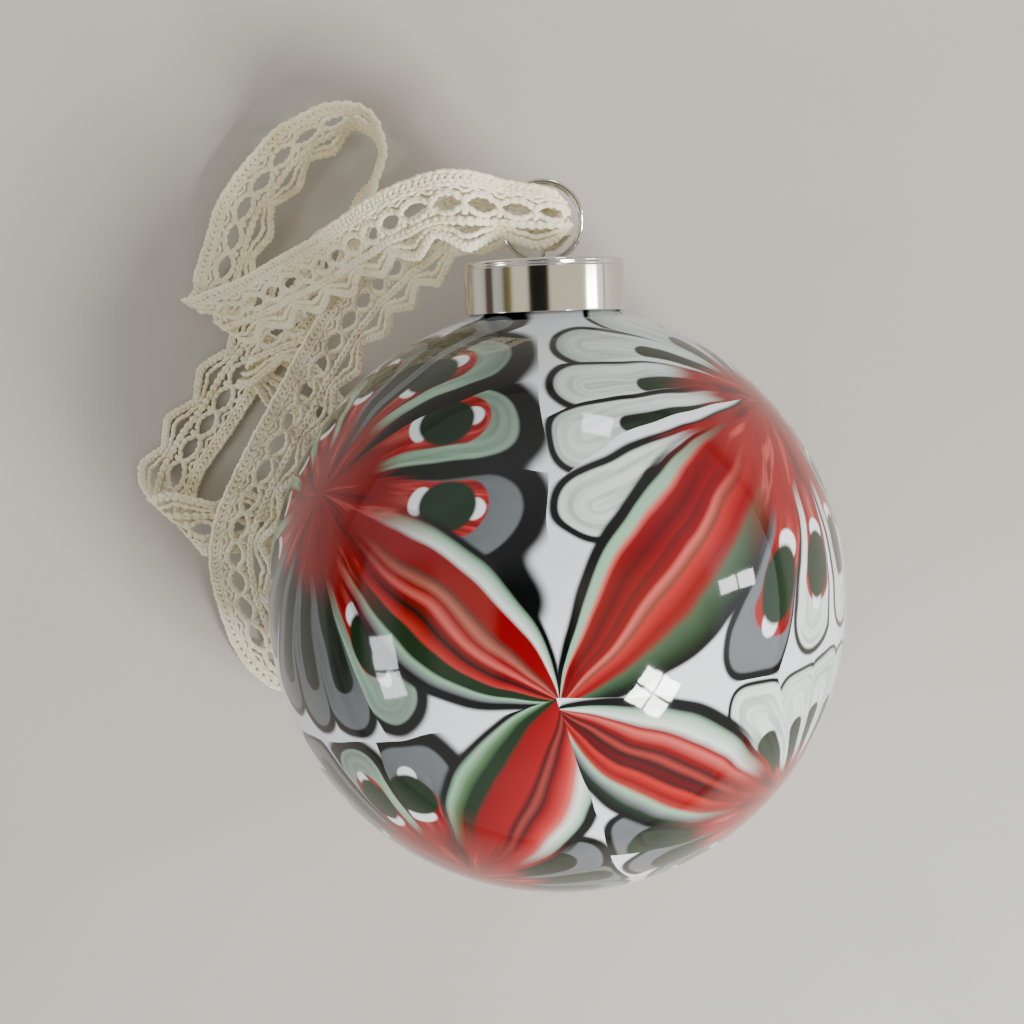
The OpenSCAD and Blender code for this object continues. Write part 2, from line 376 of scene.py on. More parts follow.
def lace_yarns(length, start=0.0):
    """Each yarn of the lace: (s, v, h, radius). s runs along it, v in from the straight edge."""
    s = np.arange(0, length, 0.3)
    place = s + start
    cell = (place / HOLE) % 1 * HOLE - HOLE / 2  # 0 at the middle of a main hole
    bar = np.exp(-(((np.abs(cell) - HOLE / 2) / 1.15) ** 2))
    tip = (place / SCALLOP) % 1 * SCALLOP - SCALLOP / 2  # 0 at the scallop's tip
    reach = 1 - np.sqrt(np.abs(tip) ** 2 + 0.5) / (SCALLOP / 2)
    yarns = []

    def plait(middle, strands, spread, period, radius, turn=0.0):
        """Strands that cross over and under each other about a middle line."""
        for k in range(strands):
            a = 2 * math.pi * (place / period + k / strands) + turn
            yarns.append((s, middle + spread * np.sin(a), 0.55 * radius * np.sin(2 * a + turn), radius))

    flat = np.zeros_like(s)
    # heading: two edge cords and a plait between them, then a row of slits
    plait(flat + 0.38, 1, 0.05, 3.1, 0.36)
    plait(flat + 1.15, 2, 0.55, 1.9, 0.33)
    plait(flat + 1.95, 1, 0.07, 2.7, 0.34, 1)
    plait(flat + 2.55, 1, 0.32, 2.5, 0.26, 2)
    # the cords over and under the main holes, drawn together at the bars
    plait(2.98 + 0.85 * bar, 2, 0.22, 2.3, 0.34)
    plait(5.78 - 1.0 * bar, 2, 0.18, 2.1, 0.32)
    plait(6.55 + 0.22 * reach, 2, 0.34, 2.5, 0.36)
    # the scalloped edge, with a filling yarn round the triangular hole
    plait(7.38 + 1.75 * np.maximum(reach, 0) ** 1.7, 1, 0.08, 2.1, 0.36)
    plait(8.02 + 2.45 * reach, 3, 0.42, 2.5, 0.38)
    # twisted bars between the main holes
    for k in range(int((length + start) / HOLE) + 1):
        at = k * HOLE - start
        if not 0.6 < at < length - 0.6:
            continue
        q = np.linspace(0, 1, 12)
        for turn in (0, math.pi):
            yarns.append((at + 0.26 * np.sin(q * 6 + turn), 3.5 + 2.3 * q, 0.24 * np.cos(q * 6 + turn), 0.33))
    return yarns


def lace(name, route, material, start=0.0, end_trim=0.3):
    """Every yarn of a strip of lace as a twisted tube, in one mesh."""
    ribbon = Ribbon(route)
    points, faces, count = [], [], 0
    sides = 6
    turn = np.arange(sides) * 2 * math.pi / sides
    for number, (s, v, h, radius) in enumerate(lace_yarns(ribbon.length - end_trim, start)):
        line = ribbon.at(s, v, h)
        along = np.concatenate([[0], np.cumsum(np.linalg.norm(np.diff(line, axis=0), axis=1))])
        steps = max(4, int(along[-1] / YARN_STEP))
        even = np.linspace(0, along[-1], steps)
        line = np.column_stack([np.interp(even, along, column) for column in line.T])
        n = np.column_stack([np.interp(np.interp(even, along, s), ribbon.s, c) for c in ribbon.n.T])
        t = np.gradient(line, axis=0)
        t /= np.maximum(1e-9, np.linalg.norm(t, axis=1))[:, None]
        a = np.cross(n, t)
        a /= np.maximum(1e-9, np.linalg.norm(a, axis=1))[:, None]
        b = np.cross(t, a)
        # two plies: an oval section that turns as it goes
        twist = even[:, None] * 2 * math.pi / 2.3 + number
        r = radius * (1 + 0.24 * np.cos(2 * (turn[None, :] - twist)))
        ring = line[:, None] + (r * np.cos(turn))[..., None] * a[:, None]
        ring = ring + (r * np.sin(turn))[..., None] * b[:, None]
        points.append(ring.reshape(-1, 3))
        i, k = np.meshgrid(np.arange(steps - 1), np.arange(sides), indexing="ij")
        j = (k + 1) % sides
        quads = np.stack([i * sides + k, i * sides + j, (i + 1) * sides + j, (i + 1) * sides + k], -1)
        faces.extend((quads.reshape(-1, 4) + count).tolist())
        faces.append([count + k for k in range(sides)][::-1])
        faces.append([count + (steps - 1) * sides + k for k in range(sides)])
        count += steps * sides
    piece = mesh_object(name, np.vstack(points), faces, material, sharp_deg=0)
    return piece, ribbon


def cotton_material():
    m = Shader("cream_cotton")
    place = m.place()
    fibres = m.noise(place, 5200, 3, 0.6)
    patches = m.noise(place, 160, 2, 0.5)
    tone = m.math("ADD", m.math("MULTIPLY", fibres, 0.45), m.math("MULTIPLY", patches, 0.55))
    colour = m.ramp(tone, [
        (0.3, srgb(234, 220, 180)), (0.5, srgb(253, 242, 208)), (0.68, srgb(255, 251, 230)),
    ])
    m.bump(fibres, 0.5, 0.12)
    return m.surface(
        Base_Color=colour, Roughness=0.9, Specular_IOR_Level=0.2, Sheen_Weight=0.35, Sheen_Roughness=0.5,
        Subsurface_Weight=0.12, Subsurface_Radius=(0.9 * MM, 0.7 * MM, 0.5 * MM), Subsurface_Scale=1.0,
    )


cotton = cotton_material()
ribbon_piece, ribbon = lace("lace_loop", RIBBON_ROUTE, cotton)
tail_long, tail_long_line = lace("lace_tail_by_ball", TAIL_LONG_ROUTE, cotton, start=2.0)
tail_short, tail_short_line = lace("lace_tail_below_ball", TAIL_SHORT_ROUTE, cotton, start=6.0)


def knot_route():
    """A gathered strip of lace wrapped one and a half times round the crossing strands."""
    rows = []
    for k in range(22):
        a = math.radians(k * 26)
        rows.append([
            KNOT_AT[0] + 2.5 * math.sin(a) + 0.25 * k / 22,
            KNOT_AT[1] - 1.6 + 3.2 * k / 21,
            4.1 + 2.5 * math.cos(a),
            90, 12 * math.sin(a), 0.34,
        ])
    return rows


knot, knot_line = lace("lace_knot_wrap", knot_route(), cotton, start=1.0)
for piece, node in (
    (ribbon_piece, "lace_ribbon"), (tail_long, "lace_tail_long"),
    (tail_short, "lace_tail_short"), (knot, "lace_knot"),
):
    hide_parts(node)
    if piece is not ribbon_piece:
        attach(piece, "clip")
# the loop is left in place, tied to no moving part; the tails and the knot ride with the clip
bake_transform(ribbon_piece)

print("lace lengths, mm:", round(ribbon.length, 1), round(tail_long_line.length, 1),
      round(tail_short_line.length, 1), round(knot_line.length, 1))


# ---------------------------------------------------------------- paint
# Directions from the ball's centre. The pattern is four combed flowers that meet at one point on
# top; the underside carries the same pattern turned half a turn about the cap's axis.
RED, DARK = 0.0, 1.0
GREY, MINT, PALE = 0.0, 0.55, 1.0
# flower: direction, petals as (bearing, length, half width, hook, black surround, inner length,
# inner width, eye, border tone, inner tone, red base), leaf as (bearing, length, half width).
# Bearings are degrees from the cap towards +X; lengths are degrees on the ball.
UPPER_LEFT = {
    "at": (-0.71, 0.45, 0.54),
    "petals": [
        (-166, 42, 4.8, 0, 1.6, 0.86, 0.50, 0, GREY, DARK, 0.35),
        (-146, 36, 5.5, 0, 1.6, 0.86, 0.50, 0, GREY, DARK, 0.40),
        (-122, 32, 6.0, 0, 1.4, 0.84, 0.55, 1, MINT, RED, 0.40),
        (-95, 29, 6.5, 0, 1.4, 0.84, 0.55, 1, MINT, RED, 0.40),
        (-66, 28, 6.5, 0, 1.4, 0.84, 0.55, 1, MINT, RED, 0.40),
        (-36, 31, 7.0, 0, 2.2, 0.84, 0.55, 1, MINT, RED, 0.40),
        (-10, 38, 7.0, 0, 3.5, 0.84, 0.55, 1, GREY, RED, 0.40),
        (9, 50, 5.2, 4, 4.0, 0.86, 0.55, 0, GREY, DARK, 0.30),
        (27, 43, 7.2, 10, 6.0, 0.88, 0.66, 1, MINT, RED, 0.40),
        (55, 41, 7.8, 6, 6.0, 0.88, 0.68, 1, MINT, RED, 0.40),
        (83, 43, 7.2, -7, 6.0, 0.86, 0.66, 1, GREY, RED, 0.45),
        (143, 45, 6.2, 0, 3.0, 0.80, 0.60, 1, MINT, RED, 0.45),
        (160, 43, 5.4, 0, 2.2, 0.84, 0.50, 0, GREY, DARK, 0.40),
        (177, 42, 5.0, 0, 1.8, 0.84, 0.50, 0, GREY, DARK, 0.35),
    ],
    "leaf": (115, 61, 12.0),
}
UPPER_RIGHT = {
    "at": (0.67, 0.68, 0.29),
    "petals": [
        (-160, 49, 6.4, 0, 1.2, 0.82, 0.66, 1, PALE, RED, 0.45),
        (-140, 58, 6.8, 0, 1.6, 0.84, 0.66, 1, GREY, RED, 0.50),
        (-88, 56, 6.6, 18, 1.7, 0.74, 0.40, 0, PALE, DARK, 0.50),
        (-74, 51, 6.0, 7, 1.5, 0.74, 0.34, 0, PALE, DARK, 0.36),
        (-60, 44.5, 5.6, 2, 1.7, 0.68, 0.32, 0, PALE, DARK, 0.46),
        (-43, 41, 6.0, -5, 1.5, 0.66, 0.34, 0, PALE, DARK, 0.28),
        (-14, 36, 8.0, -4, 0.9, 0.56, 0.30, 0, PALE, DARK, 0.28),
        (20, 25, 7.0, 0, 1.4, 0.70, 0.40, 0, PALE, DARK, 0.35),
        (55, 17, 6.0, 0, 1.4, 0.80, 0.55, 1, MINT, RED, 0.35),
        (88, 15.5, 6.0, 0, 1.4, 0.80, 0.55, 1, MINT, RED, 0.35),
        (122, 18, 6.5, 0, 1.4, 0.80, 0.55, 1, MINT, RED, 0.35),
        (152, 29, 6.5, 0, 1.2, 0.80, 0.55, 1, MINT, RED, 0.40),
        (177, 45, 5.4, 0, 1.2, 0.82, 0.60, 1, PALE, RED, 0.45),
    ],
    "leaf": (-112, 78, 12.5),
}
LOWER_RIGHT = {
    "at": (0.71, -0.57, 0.41),
    "petals": [
        (-150, 30, 6.0, 0, 1.4, 0.84, 0.60, 1, GREY, RED, 0.45),
        (-125, 34, 6.6, 2, 1.4, 0.86, 0.70, 0, GREY, DARK, 0.50),
        (-106, 42, 7.2, 4, 1.6, 0.86, 0.74, 0, GREY, DARK, 0.50),
        (-47, 37, 6.6, 0, 0.7, 0.66, 0.36, 0, PALE, DARK, 0.25),
        (-25, 32, 6.4, 0, 0.7, 0.64, 0.32, 0, PALE, DARK, 0.30),
        (-3, 31, 7.0, 0, 0.7, 0.64, 0.32, 0, PALE, DARK, 0.30),
        (24, 30, 7.0, 0, 1.0, 0.66, 0.36, 0, PALE, DARK, 0.35),
        (54, 25, 7.0, 0, 1.2, 0.80, 0.50, 1, MINT, RED, 0.40),
        (86, 22, 7.0, 0, 1.4, 0.80, 0.55, 1, MINT, RED, 0.40),
        (118, 22, 7.0, 0, 1.4, 0.80, 0.55, 1, MINT, RED, 0.40),
        (150, 25, 7.0, 0, 1.4, 0.80, 0.55, 1, GREY, RED, 0.40),
        (180, 27, 6.5, 0, 1.4, 0.80, 0.55, 1, GREY, RED, 0.40),
    ],
    "leaf": (-79, 61, 11.5),
}
LOWER_LEFT = {
    "at": (-0.28, -0.80, 0.53),
    "petals": [
        (-168, 26, 6.5, 0, 1.4, 0.84, 0.55, 1, MINT, RED, 0.40),
        (-140, 27, 6.5, 0, 1.4, 0.84, 0.55, 1, MINT, RED, 0.40),
        (-112, 29, 6.5, 0, 1.4, 0.84, 0.50, 0, GREY, DARK, 0.40),
        (-86, 30, 6.0, 0, 1.6, 0.84, 0.50, 0, GREY, DARK, 0.40),
        (-66, 36, 5.6, 0, 1.6, 0.84, 0.55, 1, GREY, RED, 0.40),
        (-49, 43, 4.8, 0, 2.0, 0.86, 0.60, 0, GREY, DARK, 0.45),
        (-28, 37, 6.0, -3, 4.0, 0.84, 0.66, 1, MINT, RED, 0.50),
        (0, 39, 8.6, 2, 4.6, 0.80, 0.64, 1, GREY, RED, 0.50),
        (76, 29, 7.0, 4, 2.2, 0.80, 0.66, 0, GREY, DARK, 0.35),
        (101, 31, 5.4, 0, 1.8, 0.84, 0.55, 0, GREY, DARK, 0.35),
        (126, 28, 6.0, 0, 1.6, 0.84, 0.50, 0, GREY, DARK, 0.35),
        (158, 26, 7.0, 0, 1.4, 0.84, 0.55, 1, MINT, RED, 0.40),
    ],
    "leaf": (37, 53, 12.5),
}
WHITE_PAINT = srgb(236, 240, 246)
BLACK_PAINT = srgb(10, 11, 11)
RED_PAINT = srgb(122, 2, 8)
DEEP_RED = srgb(86, 2, 8)
PINK_PAINT = srgb(196, 88, 82)
GREEN_PAINT = srgb(20, 42, 22)
MINT_PAINT = srgb(140, 178, 150)
GREY_PAINT = srgb(98, 103, 108)
PALE_PAINT = srgb(214, 228, 222)
# across each leaf, from the edge with the smaller bearing to the other
LEAVES = {
    "upper_left": [
        (0.00, BLACK_PAINT), (0.05, MINT_PAINT), (0.13, PALE_PAINT), (0.17, RED_PAINT), (0.32, RED_PAINT),
        (0.35, srgb(90, 45, 38)), (0.41, srgb(160, 90, 78)), (0.46, RED_PAINT), (0.52, PINK_PAINT),
        (0.56, RED_PAINT), (0.62, BLACK_PAINT), (0.65, RED_PAINT), (0.72, srgb(170, 44, 42)),
        (0.74, GREEN_PAINT), (0.84, GREEN_PAINT), (0.87, MINT_PAINT), (0.93, GREY_PAINT), (0.96, BLACK_PAINT),
    ],
    "upper_right": [
        (0.00, BLACK_PAINT), (0.06, GREEN_PAINT), (0.20, srgb(60, 82, 60)), (0.26, srgb(120, 26, 24)),
        (0.31, RED_PAINT), (0.42, srgb(170, 38, 38)), (0.46, srgb(112, 58, 46)), (0.52, PINK_PAINT),
        (0.56, RED_PAINT), (0.64, srgb(90, 14, 18)), (0.66, RED_PAINT), (0.74, DEEP_RED), (0.83, RED_PAINT),
        (0.86, PINK_PAINT), (0.89, MINT_PAINT), (0.94, MINT_PAINT), (0.965, BLACK_PAINT),
    ],
    "lower_right": [
        (0.00, BLACK_PAINT), (0.06, GREEN_PAINT), (0.11, GREY_PAINT), (0.17, MINT_PAINT),
        (0.21, srgb(150, 50, 40)),
        (0.26, RED_PAINT), (0.33, srgb(176, 36, 32)), (0.37, srgb(60, 14, 16)), (0.41, DEEP_RED),
        (0.47, srgb(50, 16, 16)), (0.52, srgb(150, 50, 45)), (0.57, srgb(60, 20, 20)), (0.62, RED_PAINT),
        (0.70, PINK_PAINT), (0.74, RED_PAINT), (0.80, PALE_PAINT), (0.90, MINT_PAINT), (0.95, BLACK_PAINT),
    ],
    "lower_left": [
        (0.00, BLACK_PAINT), (0.04, MINT_PAINT), (0.10, srgb(80, 112, 76)),
        (0.16, GREEN_PAINT), (0.24, GREEN_PAINT),
        (0.28, RED_PAINT), (0.50, srgb(140, 8, 16)), (0.54, srgb(60, 10, 14)), (0.58, srgb(140, 50, 45)),
        (0.63, srgb(60, 14, 16)), (0.66, RED_PAINT), (0.75, srgb(176, 44, 44)), (0.80, PINK_PAINT),
        (0.86, PALE_PAINT), (0.93, MINT_PAINT), (0.96, BLACK_PAINT),
    ],
}


class PaintShader(Shader):
    def pick(self, kind, choices):
        """One of four values, by the quarter of the pattern. Order: UL, UR, LL, LR."""
        a, b, out = {"VECTOR": (4, 5, 1), "RGBA": (6, 7, 2), "FLOAT": (2, 3, 0)}[kind]

        def between(share, first, second):
            made = self.node("ShaderNodeMix", data_type=kind)
            self.put(made.inputs[0], share)
            self.put(made.inputs[a], first)
            self.put(made.inputs[b], second)
            return made.outputs[out]

        top = between(self.right, choices[0], choices[1])
        low = between(self.right, choices[2], choices[3])
        return between(self.upper, low, top)

    def table(self, columns):
        """Three of the petals' values as a colour that steps with the bearing."""
        found = []
        for flower in (UPPER_LEFT, UPPER_RIGHT, LOWER_LEFT, LOWER_RIGHT):
            rows = sorted(flower["petals"])
            last = rows[-1]
            wrap = ((last[0] + rows[0][0] + 360) / 2 + 180) % 360 / 360
            starts = [((a[0] + b[0]) / 2 + 180) / 360 for a, b in zip(rows, rows[1:])]
            stops = [(0.0, rows[0] if wrap > 0.5 else last)]
            if wrap <= 0.5:
                stops.append((wrap, rows[0]))
            stops += list(zip(starts, rows[1:]))
            if wrap > 0.5:
                stops.append((wrap, rows[0]))
            ramp = [(at, tuple(shift + row[c] / scale for c, scale, shift in columns)) for at, row in stops]
            found.append(self.ramp(self.bearing, ramp, "CONSTANT"))
        split = self.node("ShaderNodeSeparateColor")
        self.put(split.inputs[0], self.pick("RGBA", found))
        return split.outputs[0:3]

    def scaled(self, value, by, plus=0.0):
        return self.math("MULTIPLY_ADD", value, by, plus)

    def degrees(self, radians):
        return self.math("MULTIPLY", radians, 180 / math.pi)

    def teardrop(self, a, b, length, width, base, fullness=0.75):
        """Degrees outside a teardrop that starts at the flower's centre; also its local half width."""
        straight = self.math("SUBTRACT", length, width)
        slope = self.math("DIVIDE", self.math("SUBTRACT", width, base), straight)
        reach = self.math("MULTIPLY_ADD", self.math("ABSOLUTE", b), slope, a)
        t = self.math("DIVIDE", reach, straight, clamp=True)
        over = self.math("SUBTRACT", a, self.math("MULTIPLY", t, straight))
        far = self.math("SQRT", self.math("MULTIPLY_ADD", over, over, self.math("MULTIPLY", b, b)))
        swell = self.math("POWER", t, fullness)
        here = self.math("MULTIPLY_ADD", swell, self.math("SUBTRACT", width, base), base)
        return self.math("SUBTRACT", far, here), here

    def spot(self, a, b, at, half_length, half_width):
        """0 at the middle of an oval on the petal's middle line, 1 at its edge."""
        x = self.math("DIVIDE", self.math("SUBTRACT", a, at), half_length)
        y = self.math("DIVIDE", b, half_width)
        return self.math("SQRT", self.math("MULTIPLY_ADD", x, x, self.math("MULTIPLY", y, y)))


def tangents(direction):
    """Towards the cap, and to its right seen from outside the ball."""
    d = Vector(direction).normalized()
    cap_way = Vector((0, 1, 0))
    up = (cap_way - d * cap_way.dot(d)).normalized()
    return d, up, up.cross(d)


def paint_material():
    m = PaintShader("marbled_paint")
    flowers = (UPPER_LEFT, UPPER_RIGHT, LOWER_LEFT, LOWER_RIGHT)
    # direction from the ball's centre, with the slight wander of poured paint
    from_centre = m.node("ShaderNodeVectorMath", operation="SUBTRACT")
    m.put(from_centre.inputs[0], m.place())
    from_centre.inputs[1].default_value = (0, 0, BALL_Z * MM)
    unit = m.node("ShaderNodeVectorMath", operation="NORMALIZE")
    m.put(unit.inputs[0], from_centre.outputs[0])
    wander = m.node("ShaderNodeVectorMath", operation="MULTIPLY_ADD")
    m.put(wander.inputs[0], m.noise(unit.outputs[0], 4.5, 1, 0.4, "Color"))
    wander.inputs[1].default_value = (0.05, 0.05, 0.05)
    m.put(wander.inputs[2], unit.outputs[0])
    shift = m.node("ShaderNodeVectorMath", operation="SUBTRACT")
    m.put(shift.inputs[0], wander.outputs[0])
    shift.inputs[1].default_value = (0.025, 0.025, 0.025)
    split = m.node("ShaderNodeSeparateXYZ")
    m.put(split.inputs[0], shift.outputs[0])
    side = m.math("SIGN", split.outputs[2])
    turned = m.node("ShaderNodeCombineXYZ")
    x = m.math("MULTIPLY", split.outputs[0], side)
    y = split.outputs[1]
    z = m.math("ABSOLUTE", split.outputs[2])
    for socket, value in zip(turned.inputs, (x, y, z)):
        m.put(socket, value)
    unit2 = m.node("ShaderNodeVectorMath", operation="NORMALIZE")
    m.put(unit2.inputs[0], turned.outputs[0])
    direction = unit2.outputs[0]

    # which quarter: the white seams between the flowers are the borders
    right0 = m.math("GREATER_THAN", x, 0.0)
    arm = m.math("MULTIPLY_ADD", m.math("MULTIPLY_ADD", right0, -0.386, 0.3375), x, m.scaled(z, -0.106))
    m.upper = m.math("GREATER_THAN", y, arm)
    seam_y = m.math("MULTIPLY", m.math("MULTIPLY_ADD", m.upper, 0.236, -0.266), y)
    seam = m.math("MULTIPLY_ADD", m.math("MULTIPLY_ADD", m.upper, 0.032, -0.032), z, seam_y)
    m.right = m.math("GREATER_THAN", x, seam)

    frames = [tangents(f["at"]) for f in flowers]
    way = [m.pick("VECTOR", [tuple(fr[k]) for fr in frames]) for k in range(3)]

    def along(vector):
        made = m.node("ShaderNodeVectorMath", operation="DOT_PRODUCT")
        m.put(made.inputs[0], direction)
        m.put(made.inputs[1], vector)
        return made.outputs["Value"]

    near, north, east = along(way[0]), along(way[1]), along(way[2])
    m.bearing = m.scaled(m.math("ARCTAN2", east, north), 0.5 / math.pi, 0.5)

    def rotated(turn_deg):
        """Degrees along and across a line that leaves the flower's centre at a bearing."""
        angle = m.math("RADIANS", turn_deg)
        c, s = m.math("COSINE", angle), m.math("SINE", angle)
        a = m.math("MULTIPLY_ADD", north, c, m.math("MULTIPLY", east, s))
        b = m.math("SUBTRACT", m.math("MULTIPLY", east, c), m.math("MULTIPLY", north, s))
        return m.degrees(m.math("ARCTAN2", a, near)), m.degrees(m.math("ARCSINE", b))

    az, length, width = m.table([(0, 400, 0.5), (1, 100, 0), (2, 20, 0)])
    hook, surround, inner_length = m.table([(3, 50, 0.5), (4, 10, 0), (5, 1, 0)])
    inner_width, eye_on, border_tone = m.table([(6, 1, 0), (7, 1, 0), (8, 1, 0)])
    inner_tone, red_base, _ = m.table([(9, 1, 0), (10, 1, 0), (7, 1, 0)])
    az, length, width = m.scaled(az, 400, -200), m.scaled(length, 100), m.scaled(width, 20)
    surround = m.scaled(surround, 10)
    a, b = rotated(az)
    share = m.math("DIVIDE", a, length)
    bow = m.math("MULTIPLY_ADD", share, share, m.scaled(share, -1.0))
    bend = m.math("MULTIPLY", m.scaled(hook, 50, -25), bow)
    b = m.math("SUBTRACT", b, bend)

    # the petal's nested drops
    outside, here = m.teardrop(a, b, length, width, 0.7)
    border_gap = m.math("MINIMUM", m.math("ABSOLUTE", m.math("SUBTRACT", y, arm)),
                        m.math("ABSOLUTE", m.math("SUBTRACT", x, seam)))
    outside = m.math("SMOOTH_MAX", outside, m.scaled(m.degrees(border_gap), -1.0, 0.8), 3.0)
    depth = m.math("DIVIDE", m.math("MULTIPLY", outside, -1.0), here)
    off_side = m.math("MULTIPLY_ADD", width, 0.16, b)
    inner, _ = m.teardrop(
        a, off_side, m.math("MULTIPLY", length, inner_length), m.math("MULTIPLY", width, inner_width), 0.5,
    )
    grain_place = m.node("ShaderNodeCombineXYZ")
    grain_at = (m.scaled(depth, 2.2), m.scaled(a, 0.03), m.scaled(az, 0.37))
    for socket, value in zip(grain_place.inputs, grain_at):
        m.put(socket, value)
    grain = m.noise(grain_place.outputs[0], 2.0, 3, 0.6)
    ray_place = m.node("ShaderNodeCombineXYZ")
    for socket, value in zip(ray_place.inputs, (m.scaled(m.bearing, 24), m.scaled(a, 0.035), side)):
        m.put(socket, value)
    rays = m.noise(ray_place.outputs[0], 1.0, 3, 0.6)

    white = m.ramp(m.noise(direction, 2.2, 2, 0.5), [(0.3, srgb(214, 219, 226)), (0.7, WHITE_PAINT)])
    soft = m.math("MULTIPLY_ADD", surround, 0.45, 0.15)
    waves = m.math("SINE", m.math("MULTIPLY", y, 26.0))
    edge = m.math("MULTIPLY_ADD", waves, 0.018, m.math("SUBTRACT", m.math("ADD", x, 0.03), seam))
    tall = m.math("MULTIPLY", m.upper, m.math("MULTIPLY", m.step(y, 0.93, 0.80), m.step(az, 20.0, 26.0)))
    ink = m.math("MULTIPLY", m.math("MULTIPLY", m.step(edge, 0.012, -0.03), tall), m.step(az, 130.0, 90.0))
    ink = m.math("MULTIPLY", ink, m.math("SUBTRACT", 1.0, m.right))
    ground = m.mix(ink, white, BLACK_PAINT)
    colour = m.mix(m.step(outside, m.math("SUBTRACT", surround, soft), surround), BLACK_PAINT, ground)
    border = m.ramp(border_tone, [(0.0, GREY_PAINT), (0.5, MINT_PAINT), (1.0, PALE_PAINT)])
    border = m.mix(m.step(grain, 0.35, 0.75), border, m.mix(0.5, border, GREEN_PAINT))
    tip = m.step(share, 0.62, 0.98)
    greyed = m.math("MULTIPLY", tip, m.math("SUBTRACT", 1.05, border_tone, clamp=True))
    cool = m.mix(greyed, border, GREY_PAINT)
    colour = m.mix(m.step(outside, 0.0, m.math("MULTIPLY", width, -0.10)), colour, cool)
    red = m.ramp(grain, [(0.30, DEEP_RED), (0.46, RED_PAINT), (0.60, srgb(168, 26, 26)), (0.72, PINK_PAINT)])
    dark = m.ramp(grain, [(0.35, BLACK_PAINT), (0.6, GREEN_PAINT)])
    streak = m.math("ABSOLUTE", m.math("MULTIPLY_ADD", width, 0.14, b))
    streak = m.step(m.math("DIVIDE", streak, width), 0.20, 0.0)
    middle = m.math("MULTIPLY", m.step(share, 0.30, 0.45), m.step(share, 0.85, 0.60))
    streak = m.math("MULTIPLY", streak, middle)
    red = m.mix(m.math("MULTIPLY", streak, 0.7), red, PINK_PAINT)
    centre = m.mix(inner_tone, red, dark)
    colour = m.mix(m.step(inner, 0.25, -0.35), colour, centre)
    ray_red = m.ramp(rays, [
        (0.26, srgb(60, 12, 14)), (0.36, DEEP_RED), (0.45, RED_PAINT), (0.60, srgb(136, 8, 12)),
        (0.66, srgb(176, 66, 60)), (0.72, srgb(110, 24, 24)),
    ])
    into = m.math("SUBTRACT", share, m.scaled(rays, 0.30, -0.15))
    red_out, red_in = m.math("MULTIPLY_ADD", red_base, 1.0, 0.10), m.math("SUBTRACT", red_base, 0.10)
    base = m.math("MULTIPLY", m.step(into, red_out, red_in), m.step(outside, 0.9, 0.3))
    colour = m.mix(base, colour, ray_red)
    # the eye, with a white sliver at each end
    for at, wide in ((0.555, 0.36), (0.80, 0.26)):
        mark = m.spot(a, off_side, m.math("MULTIPLY", length, at), m.math("MULTIPLY", length, 0.05),
                      m.math("MULTIPLY", width, wide))
        colour = m.mix(m.math("MULTIPLY", m.step(mark, 1.1, 0.85), eye_on), colour, WHITE_PAINT)
    eye_at = m.math("MULTIPLY", length, 0.68)
    eye_long, eye_wide = m.math("MULTIPLY", length, 0.125), m.math("MULTIPLY", width, 0.60)
    eye = m.spot(a, off_side, eye_at, eye_long, eye_wide)
    colour = m.mix(m.math("MULTIPLY", m.step(eye, 1.08, 0.92), eye_on), colour, GREEN_PAINT)

    # the leaf from each flower to the meeting point
    leaf_az = m.pick("FLOAT", [float(f["leaf"][0]) for f in flowers])
    leaf_length = m.pick("FLOAT", [float(f["leaf"][1]) for f in flowers])
    leaf_width = m.pick("FLOAT", [float(f["leaf"][2]) for f in flowers])
    la, lb = rotated(leaf_az)
    u = m.math("DIVIDE", la, leaf_length, clamp=True)
    arch = m.math("SINE", m.math("MULTIPLY", m.math("POWER", u, 1.3), math.pi))
    half = m.math("MULTIPLY_ADD", m.math("POWER", arch, 0.8), leaf_width, 0.02)
    across = m.math("DIVIDE", lb, half)
    leaf_colour = m.pick("RGBA", [
        m.ramp(m.scaled(across, 0.5, 0.5), LEAVES[key])
        for key in ("upper_left", "upper_right", "lower_left", "lower_right")
    ])
    past = m.math("SUBTRACT", m.math("ABSOLUTE", lb), half)
    inside = m.math("MULTIPLY", m.math("GREATER_THAN", la, 0.0), m.math("LESS_THAN", la, leaf_length))
    rim = m.math("MULTIPLY", m.step(past, 1.5, 0.5), inside)
    colour = m.mix(m.math("MULTIPLY", rim, m.step(u, 0.25, 0.5)), colour, BLACK_PAINT)
    reds = m.mix(m.step(u, 0.50, 0.20), leaf_colour, ray_red)
    colour = m.mix(m.math("MULTIPLY", m.step(past, 0.15, -0.15), inside), colour, reds)
    ripple = m.noise(direction, 9.0, 2, 0.5)
    m.bump(ripple, 0.10, 0.25)
    return m.surface(
        Base_Color=colour, Roughness=m.ramp(ripple, [(0.3, (0.03,) * 3), (0.7, (0.06,) * 3)]), IOR=1.5,
        Specular_IOR_Level=0.5,
    )


# ---------------------------------------------------------------- ball
fillet_x = NECK_R + FILLET
fillet_y = STRETCH + math.sqrt((BALL_R + FILLET) ** 2 - fillet_x**2)
shoulder_deg = math.degrees(math.atan2(fillet_y - STRETCH, fillet_x))
plate_top = CAP_TOP - LIP_H
neck_top = plate_top - PLATE - SEAT_GAP


